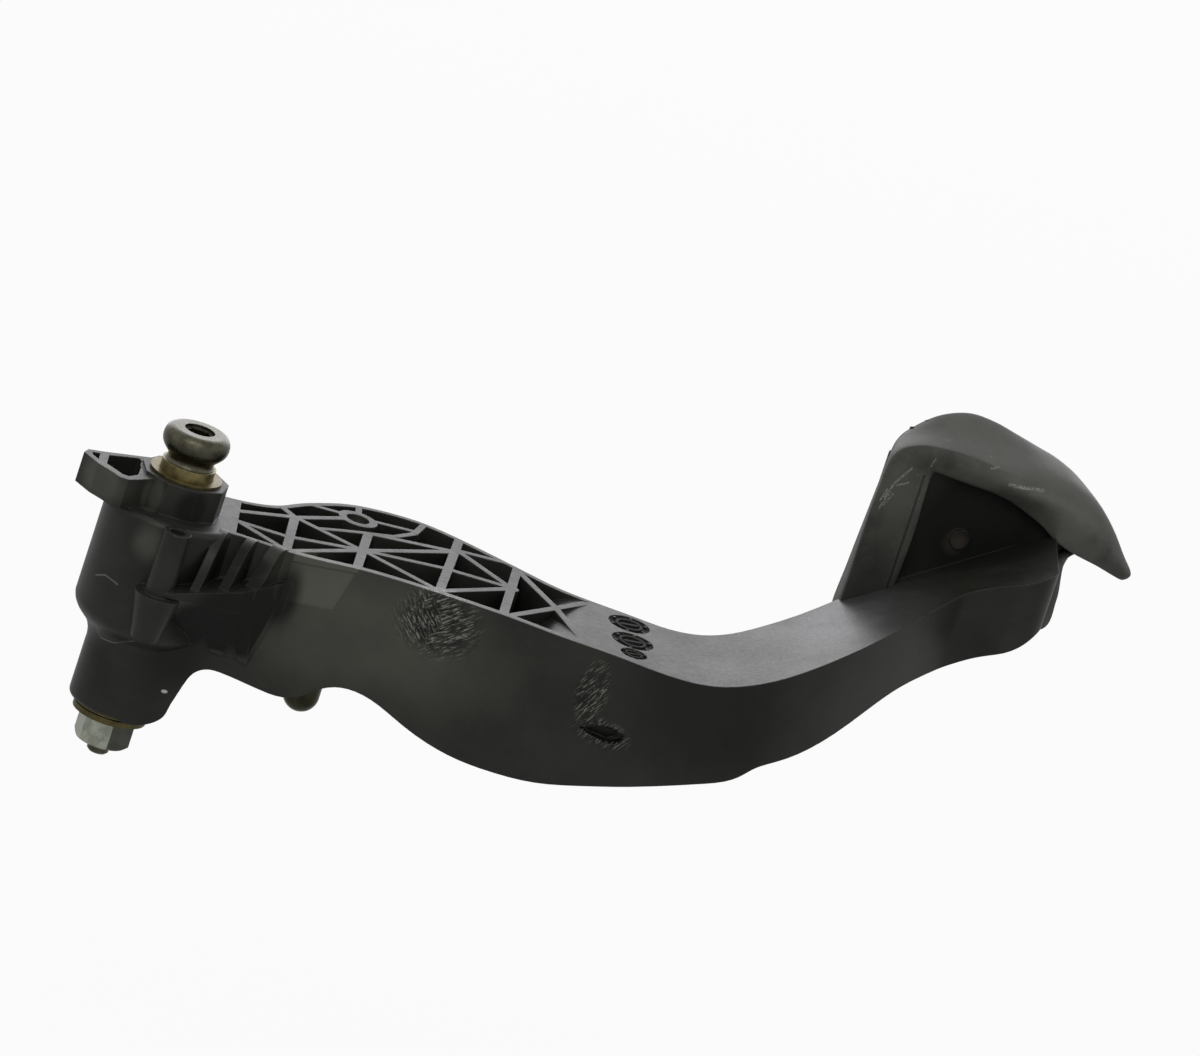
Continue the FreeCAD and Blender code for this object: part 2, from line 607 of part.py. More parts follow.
lever, arm = lever_solid()
parts = {
    "pedal_lever": lever,
    "pad_cover": pad_cover(arm),
    "pivot_bolt": pivot_bolt(),
    "spacer_sleeve": tube(sleeve_radius, shank_radius + shank_gap, washer_top, bolt_shoulder),
    "upper_bush": bush(hub_top, -1),
    "lower_bush": bush(hub_bottom, 1),
    "washer": tube(washer_radius, shank_radius + 2 * shank_gap, nut_top, washer_top),
    "lock_nut": lock_nut(),
    "pushrod_pin": pushrod_pin(),
}
os.makedirs("parts", exist_ok=True)
for name, shape in parts.items():
    shape.translate(V(0, 0, -hub_top))
    print(name, shape.isValid(), len(shape.Solids), len(shape.Faces), round(shape.Volume / 1000.0, 2))
    shape.exportStep("parts/%s.step" % name)
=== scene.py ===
import math

import bmesh
import bpy
import numpy as np
from bpy.props import FloatProperty, FloatVectorProperty, IntProperty, PointerProperty
from mathutils import Matrix, Vector


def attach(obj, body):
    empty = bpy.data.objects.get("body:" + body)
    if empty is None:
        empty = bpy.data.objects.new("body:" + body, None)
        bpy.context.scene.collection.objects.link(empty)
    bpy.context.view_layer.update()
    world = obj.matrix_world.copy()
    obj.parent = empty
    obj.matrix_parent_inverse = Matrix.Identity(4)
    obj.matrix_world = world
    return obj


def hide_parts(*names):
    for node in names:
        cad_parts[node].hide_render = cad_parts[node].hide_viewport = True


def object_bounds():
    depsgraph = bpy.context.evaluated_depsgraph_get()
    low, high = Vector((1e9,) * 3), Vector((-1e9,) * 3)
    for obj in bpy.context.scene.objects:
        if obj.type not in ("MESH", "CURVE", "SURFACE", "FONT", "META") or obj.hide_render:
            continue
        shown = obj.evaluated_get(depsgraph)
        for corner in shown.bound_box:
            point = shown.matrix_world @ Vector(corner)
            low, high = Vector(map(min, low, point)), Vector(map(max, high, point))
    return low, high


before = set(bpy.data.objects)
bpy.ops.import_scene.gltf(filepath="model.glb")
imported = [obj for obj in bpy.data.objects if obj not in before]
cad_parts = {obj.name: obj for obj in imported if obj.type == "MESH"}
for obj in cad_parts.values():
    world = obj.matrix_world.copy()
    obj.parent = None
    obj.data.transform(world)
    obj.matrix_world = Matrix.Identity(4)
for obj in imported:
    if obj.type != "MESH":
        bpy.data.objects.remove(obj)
CAD_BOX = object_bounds()

bl_info = {
    "name": "Clutch Pedal",
    "version": (1, 0, 0),
    "blender": (4, 5, 0),
    "location": "View3D > Sidebar > Pedal",
    "description": "Dresses the packed clutch pedal with its finishes and its rubber foot pad",
    "category": "Object",
}

MM = 0.001

# The rubber's frame: u along the pad, z up, w out of its back, towards the engine.
PAD_ORIGIN = Vector((251.0, 90.0, 37.0))
PAD_TURN = math.radians(28.9)
PAD_U = Vector((math.cos(PAD_TURN), math.sin(PAD_TURN), 0.0))
PAD_W = Vector((math.sin(PAD_TURN), -math.cos(PAD_TURN), 0.0))

# Three rings of the rubber skin in mm: tread edge (u, z), fold (u, z, w) and free lip (u, z, w).
TREAD_RING = [
    (-31.2, -38.6), (-30.7, -22.0), (-29.8, -4.0), (-29.0, 10.0), (-27.8, 23.2), (-22.4, 29.6),
    (-14.0, 34.6), (-4.0, 36.6), (6.0, 35.0), (16.0, 31.8), (25.0, 28.8), (34.0, 25.6),
    (42.0, 21.0), (46.5, 14.0), (48.0, 6.0), (48.4, -1.0), (48.4, -7.0), (48.3, -14.0),
    (47.5, -25.0), (43.5, -33.0), (28.0, -37.4), (8.0, -39.0), (-12.0, -40.6), (-26.0, -41.8),
]
FOLD_RING = [
    (-35.4, -33.0, -1.6), (-36.2, -20.0, -1.0), (-36.6, -4.0, -0.6), (-36.4, 10.0, -0.4),
    (-34.6, 23.4, -0.8), (-26.4, 28.2, -0.4), (-14.0, 28.2, 0.0), (-3.0, 26.6, 0.2), (5.5, 24.4, 0.6),
    (15.0, 22.6, 1.4), (25.0, 22.0, 2.2), (36.0, 19.6, 2.6), (47.0, 14.4, 2.2), (56.0, 7.4, 1.0),
    (63.4, -0.6, 0.2), (66.2, -5.6, -0.4), (54.0, -1.5, -5.0), (43.4, -5.0, -4.0), (43.2, -19.0, -1.2),
    (42.4, -31.0, -2.6), (27.0, -33.2, -5.6), (8.0, -34.0, -5.8), (-12.0, -35.0, -5.8), (-27.0, -36.6, -5.0),
]
LIP_RING = [
    (-19.0, -30.0, -1.4), (-18.2, -20.0, -0.8), (-17.6, -4.0, -0.8), (-18.2, 11.0, -0.8),
    (-18.0, 18.4, -0.8), (-15.0, 18.9, -0.8), (-9.0, 17.8, -0.8), (-1.5, 16.5, -0.8), (6.0, 15.2, -0.8),
    (14.0, 13.0, -0.6), (22.0, 9.7, -0.4), (29.0, 6.2, 0.0), (35.0, 2.2, 0.4), (43.0, -1.4, 0.6),
    (53.0, -4.6, 0.6), (63.8, -8.2, 0.2), (50.0, -0.5, -4.6), (40.5, -6.4, -4.0), (37.6, -18.0, -2.0),
    (36.5, -26.0, -5.8), (26.0, -27.4, -6.3), (8.0, -28.0, -6.3), (-12.0, -28.6, -6.3), (-22.0, -31.0, -6.2),
]

PAD_CENTRE = (6.0, -1.0)   # u and z of the point where the skin's sections meet
SKIN_ROWS = 72             # points across the skin, from the tread's middle to the inside
TREAD_THICKNESS = 4.4
# The rubber goes slack from these u and z, over these lengths, towards its corner that came off the plate.
SLACK_U, SLACK_U_RUN = 4.0, 20.0
SLACK_Z, SLACK_Z_RUN = -8.0, 8.0
# A tread rib's section (across, share of its height), and how its ends meet the tread's edge.
RIB_PROFILE = [(-1.5, 0.0), (-1.25, 0.75), (-0.7, 1.0), (0.7, 1.0), (1.25, 0.75), (1.5, 0.0)]
RIB_STEPS = 10
RIB_SUNK = 0.4             # depth of a rib's root in the tread
RIB_WRAP = 1.0             # how far a rib's top end runs over the edge
RIB_REACH = 2.2            # stretch of the edge that a rib's ends are fitted to
RIB_FOOT_GAP = 2.6
RIB_TOP_GAP = 0.7
RIB_LAST = 0.8             # share of the pitch kept free at the tread's far edge
SLOPE_END = -4.0           # ribs before this u end on the pad's upper left slope
SLOPE_TOP_GAP = 0.4


class PedalPadSettings(bpy.types.PropertyGroup):
    """Sizes of the rubber foot pad"""
    tread_depth: FloatProperty(
        name="Tread depth", description="From the back of the lip to the base of the tread",
        default=15.0 * MM, unit="LENGTH")
    rib_pitch: FloatProperty(
        name="Rib pitch", description="Distance between two tread ribs", default=4.6 * MM, unit="LENGTH")
    rib_height: FloatProperty(
        name="Rib height", description="How far a tread rib stands up", default=1.2 * MM, unit="LENGTH")
    lip_thickness: FloatProperty(
        name="Lip thickness", description="Thickness of the rubber lip", default=3.2 * MM, unit="LENGTH")
    around: IntProperty(
        name="Points around", description="Points of the skin round the pad", default=192, min=48)


class PedalFinishSettings(bpy.types.PropertyGroup):
    """Colours of the pedal's finishes"""
    moulding: FloatVectorProperty(
        name="Moulding", description="Filled plastic of the lever", subtype="COLOR",
        default=(0.0195, 0.0198, 0.0168), size=3, min=0.0, max=1.0)
    rubber: FloatVectorProperty(
        name="Rubber", description="Rubber of the foot pad", subtype="COLOR",
        default=(0.062, 0.0625, 0.055), size=3, min=0.0, max=1.0)
    bolt: FloatVectorProperty(
        name="Bolt", description="Dull olive steel of the pivot bolt", subtype="COLOR",
        default=(0.068, 0.065, 0.046), size=3, min=0.0, max=1.0)
    yellow: FloatVectorProperty(
        name="Yellow plating", description="Yellow plated sleeve, bushes and washer", subtype="COLOR",
        default=(0.2, 0.165, 0.075), size=3, min=0.0, max=1.0)
    nut: FloatVectorProperty(
        name="Nut", description="Bright plated lock nut", subtype="COLOR",
        default=(0.31, 0.325, 0.27), size=3, min=0.0, max=1.0)
    pin: FloatVectorProperty(
        name="Push-rod pin", description="Greased steel of the push-rod pin", subtype="COLOR",
        default=(0.034, 0.034, 0.021), size=3, min=0.0, max=1.0)


class PedalStageSettings(bpy.types.PropertyGroup):
    """Floor, lamps and camera"""
    floor: FloatVectorProperty(
        name="Floor", description="Colour of the floor", subtype="COLOR",
        default=(0.5, 0.5, 0.5), size=3, min=0.0, max=1.0)
    drop: FloatProperty(
        name="Floor drop", description="Distance of the floor below the part",
        default=150.0 * MM, unit="LENGTH")
    ambient: FloatProperty(
        name="Ambient", description="Strength of the surrounding light", default=0.45, min=0.0)
    key: FloatProperty(name="Key lamp", description="Power of the front lamp", default=9.0, unit="POWER")
    back: FloatProperty(name="Back lamp", description="Power of the lamp behind", default=20.0, unit="POWER")
    lens: FloatProperty(
        name="Lens", description="Focal length of the camera on a 36 mm sensor", default=545.45, min=1.0)


class Finish:
    """A procedural material whose patterns are laid out in millimetres of the part's own frame."""

    def __init__(self, name):
        self.material = bpy.data.materials.new(name)
        self.material.use_nodes = True
        self.nodes = self.material.node_tree.nodes
        self.links = self.material.node_tree.links
        self.shader = self.nodes["Principled BSDF"]
        place = self.nodes.new("ShaderNodeTexCoord")
        self.mm = self.vector("SCALE", place.outputs["Object"], scale=1.0 / MM)

    def set(self, socket, value):
        if hasattr(value, "is_linked"):
            self.links.new(value, socket)
        else:
            socket.default_value = value

    def vector(self, operation, a, b=None, scale=None):
        node = self.nodes.new("ShaderNodeVectorMath")
        node.operation = operation
        self.set(node.inputs[0], a)
        if b is not None:
            self.set(node.inputs[1], b)
        if scale is not None:
            self.set(node.inputs["Scale"], scale)
        one_number = operation in ("LENGTH", "DISTANCE", "DOT_PRODUCT")
        return node.outputs["Value" if one_number else "Vector"]

    def math(self, operation, a, b=0.0, clamp=False):
        node = self.nodes.new("ShaderNodeMath")
        node.operation = operation
        node.use_clamp = clamp
        self.set(node.inputs[0], a)
        self.set(node.inputs[1], b)
        return node.outputs[0]

    def noise(self, scale, detail=3.0, rough=0.55, warp=0.0, at=None):
        node = self.nodes.new("ShaderNodeTexNoise")
        self.set(node.inputs["Vector"], at or self.mm)
        node.inputs["Scale"].default_value = scale
        node.inputs["Detail"].default_value = detail
        node.inputs["Roughness"].default_value = rough
        node.inputs["Distortion"].default_value = warp
        return node.outputs["Fac"]

    def cells(self, scale):
        node = self.nodes.new("ShaderNodeTexVoronoi")
        self.set(node.inputs["Vector"], self.mm)
        node.inputs["Scale"].default_value = scale
        return node.outputs["Distance"]

    def range(self, value, low, high, to_low=0.0, to_high=1.0):
        node = self.nodes.new("ShaderNodeMapRange")
        node.interpolation_type = "SMOOTHSTEP"
        self.set(node.inputs["Value"], value)
        node.inputs["From Min"].default_value = low
        node.inputs["From Max"].default_value = high
        node.inputs["To Min"].default_value = to_low
        node.inputs["To Max"].default_value = to_high
        return node.outputs["Result"]

    def times(self, *factors):
        product = factors[0]
        for factor in factors[1:]:
            product = self.math("MULTIPLY", product, factor)
        return product

    def most(self, *masks):
        highest = masks[0]
        for mask in masks[1:]:
            highest = self.math("MAXIMUM", highest, mask)
        return highest

    def grey(self, value):
        node = self.nodes.new("ShaderNodeCombineColor")
        for socket in node.inputs[:3]:
            self.set(socket, value)
        return node.outputs[0]

    def mix(self, amount, a, b):
        node = self.nodes.new("ShaderNodeMix")
        node.data_type = "RGBA"
        self.set(node.inputs["Factor"], amount)
        self.set(node.inputs["A"], colour(a))
        self.set(node.inputs["B"], colour(b))
        return node.outputs["Result"]

    def turned(self, axis, degrees, length):
        """The frame turned about one axis, with patterns drawn out by lengths along the new axes."""
        node = self.nodes.new("ShaderNodeMapping")
        node.vector_type = "TEXTURE"
        node.inputs["Rotation"].default_value[axis] = math.radians(degrees)
        node.inputs["Scale"].default_value = length
        self.set(node.inputs["Vector"], self.mm)
        return node.outputs["Vector"]

    def axes(self):
        node = self.nodes.new("ShaderNodeSeparateXYZ")
        self.set(node.inputs[0], self.mm)
        return node.outputs

    def blob(self, centre, radii, soft):
        """One inside an ellipsoid, fading to nothing at its surface."""
        away = self.vector("SUBTRACT", self.mm, centre)
        away = self.vector("DIVIDE", away, radii)
        return self.range(self.vector("LENGTH", away), 1.0, 1.0 - soft)

    def stroke(self, start, end, width):
        """One along a straight scratch between two points, fading over its width."""
        start = Vector(start)
        run = Vector(end) - start
        away = self.vector("SUBTRACT", self.mm, tuple(start))
        along = self.math("DIVIDE", self.vector("DOT_PRODUCT", away, tuple(run)), run.length_squared)
        along = self.math("MINIMUM", self.math("MAXIMUM", along, 0.0), 1.0)
        near = self.vector("SCALE", tuple(run), scale=along)
        return self.range(self.vector("DISTANCE", away, near), width, width * 0.3)

    def edges(self, low, high):
        node = self.nodes.new("ShaderNodeNewGeometry")
        return self.range(node.outputs["Pointiness"], low, high)

    def bump(self, height, distance, strength, normal=None):
        node = self.nodes.new("ShaderNodeBump")
        node.inputs["Strength"].default_value = strength
        node.inputs["Distance"].default_value = distance
        self.set(node.inputs["Height"], height)
        if normal is not None:
            self.set(node.inputs["Normal"], normal)
        return node.outputs["Normal"]

    def rounded(self, radius):
        node = self.nodes.new("ShaderNodeBevel")
        node.samples = 4
        node.inputs["Radius"].default_value = radius
        return node.outputs["Normal"]

    def facing(self):
        node = self.nodes.new("ShaderNodeNewGeometry")
        return node.outputs["Normal"]

    def facing_up(self):
        node = self.nodes.new("ShaderNodeSeparateXYZ")
        self.set(node.inputs[0], self.facing())
        return node.outputs[2]

    def rims(self, soft_normal):
        """One along sharp edges, where the rounded normal leaves the face's own."""
        turn = self.vector("DOT_PRODUCT", soft_normal, self.facing())
        return self.range(turn, 0.985, 0.86)

    def give(self, **sockets):
        for name, value in sockets.items():
            self.set(self.shader.inputs[name.replace("_", " ")], value)
        return self.material


def colour(value):
    if hasattr(value, "is_linked") or len(value) == 4:
        return value
    return (value[0], value[1], value[2], 1.0)


def shade(rgb, factor):
    return tuple(min(1.0, c * factor) for c in rgb)


def pad_mm(u, z, w):
    """A point of the pad's frame in mm of the part's frame."""
    return PAD_ORIGIN + PAD_U * u + PAD_W * w + Vector((0.0, 0.0, z))


def pad_blob(f, centre, radii, soft):
    return f.blob(tuple(pad_mm(*centre)), radii, soft)


def pad_stroke(f, start, end, width):
    return f.stroke(pad_mm(*start), pad_mm(*end), width)


# Places and colours of the wear on the lever and of the light and shade painted on it. A blob is (centre,
# radii, softness) in mm of the part's frame.
# Dust on the front wall, and highlights painted lighter on the ear, the collar's left flat and the front of
# the barrel.
DUST_AND_SHEEN = [
    ((74.0, -6.0, -30.0), (62.0, 18.0, 36.0), 0.75),
    ((-26.0, -16.0, -5.0), (14.0, 11.0, 10.0), 0.6),
    ((-8.0, -13.4, -6.0), (4.6, 4.0, 8.0), 0.5),
    ((-4.0, -22.0, -19.0), (8.0, 8.0, 9.0), 0.8),
]
DUST_AND_SHEEN_COLOUR = (0.072, 0.073, 0.06)
# A sheen painted on the lid near the pad, as reflected light.
LID_SHEEN = ((224.0, 62.0, 9.0), (44.0, 44.0, 26.0), 0.95)
LID_SHEEN_COLOUR = (0.075, 0.075, 0.077)
# Painted shade on the bend of the front wall and low by the hub.
SHADE_SPOTS = [
    ((186.0, -12.0, -14.0), (46.0, 20.0, 40.0), 0.75),
    ((14.0, -10.0, -58.0), (16.0, 16.0, 18.0), 0.8),
]
# Painted shade under and beside the corbel, on the collar's middle flats, and in the cavity by the foot
# plate.
UNDER_CORBEL = ((27.0, -18.0, -36.0), (24.0, 16.0, 22.0), 0.3)
CORBEL_AND_COLLAR_SHADE = [
    ((26.0, -16.0, -18.0), (15.0, 5.0, 9.0), 0.5),
    ((44.0, -11.0, -26.0), (7.0, 8.0, 16.0), 0.6),
    ((7.0, -14.0, -7.0), (9.0, 6.0, 10.0), 0.5),
]
# These two have their centre in the pad's frame (u, z, w).
PLATE_CAVITY_SHADE = ((8.0, 2.0, -6.0), (34.0, 24.0, 28.0), 0.45)
NUB_SMUDGE = ((1.4, -6.0, -6.0), (6.0, 6.0, 6.0), 0.7)
NUB_COLOUR = (0.055, 0.046, 0.038)
# The smooth panel in the front wall: left edge, leaning right edge and foot.
PANEL_LEFT = 42.5
PANEL_RIGHT_AT_TOP = 66.9
PANEL_RIGHT_SLOPE = 0.247
PANEL_FOOT = -27.2
# Painted sheen of the smooth panel.
PANEL_SHEEN_COLOUR = (0.12, 0.121, 0.1)
RUB = ((94.5, -2.0, -20.5), (17.0, 14.0, 15.5), 0.6)
LOWER_RUB = ((149.8, -5.0, -25.0), (6.6, 10.0, 14.0), 0.5)
GOUGE = ((157.2, -5.0, -38.0), (7.4, 6.0, 2.7), 0.25)
TORN_SKIN = ((157.0, -6.0, -37.8), (12.0, 8.0, 5.8), 0.6)
# Painted glint on the rubs' ridges.
RUB_GLINT_COLOUR = (0.24, 0.243, 0.205)
HUB_CHIP = ((15.5, -11.6, -70.0), (1.3, 3.0, 0.75), 0.4)
SPECK_COLOUR = (0.5, 0.5, 0.46)
HAIR_WIDTH = 0.42
HAIR_COLOUR = (0.3, 0.3, 0.26)
HAIRS = [
    [(-17.7, -15.0, -37.8), (-14.6, -18.0, -35.8), (-11.3, -20.2, -36.2), (-9.8, -21.0, -36.6)],
    [(-12.1, -12.8, -56.4), (-9.9, -12.9, -58.7), (-4.9, -15.9, -58.1), (0.2, -19.9, -54.3),
     (4.8, -22.4, -49.5), (8.4, -21.6, -45.4), (9.4, -21.2, -43.3)],
]
# Sharp edges: lighter with wear and with a painted highlight.
RIM_WEAR_AND_HIGHLIGHT_COLOUR = (0.075, 0.075, 0.07)
# Dial wells, painted dark as shade in their hollows.
DIAL_WELLS = [
    ((154.4, 30.4, -11.6), (7.6, 7.6, 1.6), 0.2),
    ((157.2, 14.6, -11.6), (7.6, 7.6, 1.6), 0.2),
    ((158.9, 2.6, -11.6), (5.0, 5.0, 1.6), 0.2),
]


def front_panel(f, x, y, z):
    """One on the smooth pad pressed into the front wall, whose sheen is painted lighter than the skin round
    it.
    """
    right = f.math("ADD", f.math("MULTIPLY", z, PANEL_RIGHT_SLOPE), PANEL_RIGHT_AT_TOP)
    return f.times(
        f.range(x, PANEL_LEFT - 0.3, PANEL_LEFT + 0.3),
        f.range(f.math("SUBTRACT", x, right), 0.3, -0.3),
        f.range(z, PANEL_FOOT - 0.2, PANEL_FOOT + 0.2),
        f.range(y, 0.0, -1.0))


def lever_dirt_and_painted_light(f, base, rgb, cloud, panel, y):
    """Dust and painted highlights by the hub, a painted sheen on the lid and the panel, painted shade on the
    bend, round the corbel and collar and inside the rubber, and a smudge on the nub.
    """
    # Dust on the front wall, and highlights painted lighter by the hub.
    dust_and_sheen = f.most(*[f.blob(*spot) for spot in DUST_AND_SHEEN])
    base = f.mix(f.math("MULTIPLY", dust_and_sheen, f.range(cloud, 0.2, 0.6, 0.6, 0.95)), base, DUST_AND_SHEEN_COLOUR)
    # Painted reflection: the lid's upward faces near the pad made paler.
    lid_sheen = f.times(
        f.blob(*LID_SHEEN), f.range(f.facing_up(), 0.6, 0.85),
        f.range(f.noise(0.12, 4.0, 0.6), 0.25, 0.7, 0.5, 1.0))
    base = f.mix(lid_sheen, base, LID_SHEEN_COLOUR)
    # The panel painted lighter, as its sheen.
    base = f.mix(f.math("MULTIPLY", panel, 0.6), base, PANEL_SHEEN_COLOUR)
    # Painted shade: the bend and a spot low by the hub made darker.
    shade_spots = f.most(*[f.blob(*spot) for spot in SHADE_SPOTS])
    base = f.mix(f.math("MULTIPLY", shade_spots, 0.75), base, shade(rgb, 0.18))
    # Painted shade under the corbel, in its shadow on the wall, on the collar and in the cavity inside the
    # rubber.
    painted_shade = f.most(
        pad_blob(f, *PLATE_CAVITY_SHADE),
        f.math("MULTIPLY", f.blob(*UNDER_CORBEL), f.range(y, -11.8, -13.0)),
        *[f.blob(*spot) for spot in CORBEL_AND_COLLAR_SHADE])
    base = f.mix(f.math("MULTIPLY", painted_shade, 0.9), base, shade(rgb, 0.12))
    return f.mix(f.math("MULTIPLY", pad_blob(f, *NUB_SMUDGE), 0.7), base, NUB_COLOUR), painted_shade


def lever_rubs(f, base, rgb, x, z):
    """Two crazed rubs on the front wall and torn skin round the gouge, their ridges painted with highlights
    and shade, and the gouge's pit painted dark as shade.
    """
    pit = f.blob(*GOUGE)
    torn = f.math("SUBTRACT", f.blob(*TORN_SKIN), pit, clamp=True)
    rising = f.noise(1.0, 3.0, 0.6, 0.5, at=f.turned(1, -38.0, (3.4, 3.0, 0.46)))
    falling = f.noise(1.0, 3.0, 0.6, 0.7, at=f.turned(1, 50.0, (2.4, 3.0, 0.5)))
    steep = f.noise(1.0, 3.0, 0.6, 0.4, at=f.turned(1, -58.0, (3.6, 3.0, 0.4)))
    wavy_x = f.math("ADD", f.math("MULTIPLY", f.noise(0.16, 2.0, 0.6), 30.0), x)
    ridges = f.mix(f.range(wavy_x, 103.0, 111.0), f.grey(falling), f.grey(rising))
    ridges = f.mix(f.range(x, 118.0, 122.0), ridges, f.grey(steep))
    frayed = f.range(f.noise(0.3, 4.0, 0.7), 0.24, 0.4)
    fainter = f.times(f.most(f.blob(*LOWER_RUB), torn), f.range(z, -16.0, -32.0, 0.45, 0.9))
    worn = f.times(f.most(f.blob(*RUB), fainter), frayed)
    # Painted shade and highlights along the crazed ridges of the rubs.
    base = f.mix(f.math("MULTIPLY", worn, f.range(ridges, 0.51, 0.46)), base, shade(rgb, 0.12))
    base = f.mix(f.math("MULTIPLY", worn, f.range(ridges, 0.55, 0.6)), base, RUB_GLINT_COLOUR)
    # Painted shade inside the gouge's pit.
    return f.mix(f.math("MULTIPLY", pit, 0.9), base, shade(rgb, 0.1)), worn, ridges


def moulding_finish(rgb):
    f = Finish("filled_plastic")
    cloud = f.noise(0.035, 4.0, 0.6)
    grain = f.noise(2.6, 3.0, 0.6)
    fibre = f.noise(0.9, 2.0, 0.5, at=f.turned(1, 8.0, (3.0, 1.0, 0.5)))
    x, y, z = f.axes()
    base = f.mix(f.range(cloud, 0.3, 0.7), shade(rgb, 0.72), shade(rgb, 1.3))
    base = f.mix(f.range(f.noise(0.4, 3.0, 0.7), 0.58, 0.8, 0.0, 0.5), base, shade(rgb, 2.0))
    base, painted_shade = lever_dirt_and_painted_light(f, base, rgb, cloud, front_panel(f, x, y, z), y)
    base, worn, ridges = lever_rubs(f, base, rgb, x, z)
    # Pale dust specks and a chip at the foot of the hub.
    specks = f.times(f.range(f.cells(0.11), 0.03, 0.012), f.range(f.noise(0.02), 0.5, 0.62))
    base = f.mix(f.most(specks, f.blob(*HUB_CHIP)), base, SPECK_COLOUR)
    # Two stray fibres lie on the hub.
    hairs = [f.stroke(a, b, HAIR_WIDTH) for path in HAIRS for a, b in zip(path, path[1:])]
    base = f.mix(f.math("MULTIPLY", f.most(*hairs), 0.35), base, HAIR_COLOUR)
    soft = f.rounded(0.55 * MM)
    # Sharp edges painted lighter, with wear and as a highlight.
    base = f.mix(f.math("MULTIPLY", f.rims(soft), 0.5), base, RIM_WEAR_AND_HIGHLIGHT_COLOUR)
    # Painted shade in the dial wells.
    wells = f.most(*[f.blob(*well) for well in DIAL_WELLS])
    base = f.mix(f.math("MULTIPLY", wells, 0.8), base, shade(rgb, 0.25))
    rough = f.math("ADD", f.range(cloud, 0.25, 0.75, 0.34, 0.44), f.math("MULTIPLY", worn, -0.1))
    rough = f.math("ADD", rough, f.range(fibre, 0.3, 0.7, -0.03, 0.04))
    rough = f.math("ADD", rough, f.math("MULTIPLY", f.most(painted_shade, wells), 0.35))
    normal = f.bump(grain, 0.035 * MM, 0.8, soft)
    normal = f.bump(fibre, 0.05 * MM, 0.5, normal)
    normal = f.bump(f.math("MULTIPLY", ridges, worn), 0.8 * MM, 1.0, normal)
    return f.give(Base_Color=base, Roughness=rough, IOR=1.3, Normal=normal)


# Scratches on the rubber in the pad's frame: start and end (u, z, w), and width.
PAD_MARKS = [
    ((10.0, 19.9, 1.8), (15.0, 19.6, 2.2), 1.0), ((15.0, 19.6, 2.2), (22.4, 20.0, 2.6), 0.8),
    ((-31.0, 14.0, 0.0), (-26.6, 19.6, 0.0), 0.6), ((-30.2, 13.0, 0.0), (-26.0, 14.6, 0.0), 0.5),
    ((-33.6, 8.0, 0.0), (-31.0, 14.0, 0.0), 0.55), ((-33.8, 4.0, 0.0), (-32.0, 10.0, 0.0), 0.6),
    ((-32.6, 5.4, 0.0), (-30.6, 9.6, 0.0), 0.5), ((-34.4, 6.6, 0.0), (-33.2, 11.0, 0.0), 0.45),
    ((-24.0, 17.6, 0.0), (-18.6, 18.6, 0.0), 0.5), ((-20.5, 18.0, 0.0), (-19.4, 24.0, 0.0), 0.6),
    ((-1.6, 22.0, 0.0), (0.4, 23.4, 0.0), 0.6), ((2.0, 24.2, 0.4), (6.0, 25.4, 0.4), 0.6),
    ((-16.0, 30.4, -4.0), (-8.0, 31.4, -4.0), 0.8), ((-8.0, 31.4, -5.0), (0.0, 30.6, -5.0), 0.8),
]
PAD_MARK_COLOUR = (0.34, 0.34, 0.3)
# A groove down the left lip, painted dark as shade.
PAD_GROOVE = ((-20.6, -26.0, -0.6), (-20.9, 17.0, -0.6), 0.8)
PAD_DUST_AND_TOP_LIGHT_COLOUR = (0.115, 0.115, 0.108)
PAD_HANDLED = ((30.0, 10.0, 1.0), (24.0, 24.0, 14.0), 0.9)
PAD_HANDLED_COLOUR = (0.135, 0.136, 0.12)
# Painted shade at the foot of the left side.
PAD_LOW_SHADE = ((-28.0, -24.0, -1.0), (16.0, 16.0, 34.0), 0.9)
PAD_SPECK_COLOUR = (0.3, 0.3, 0.28)


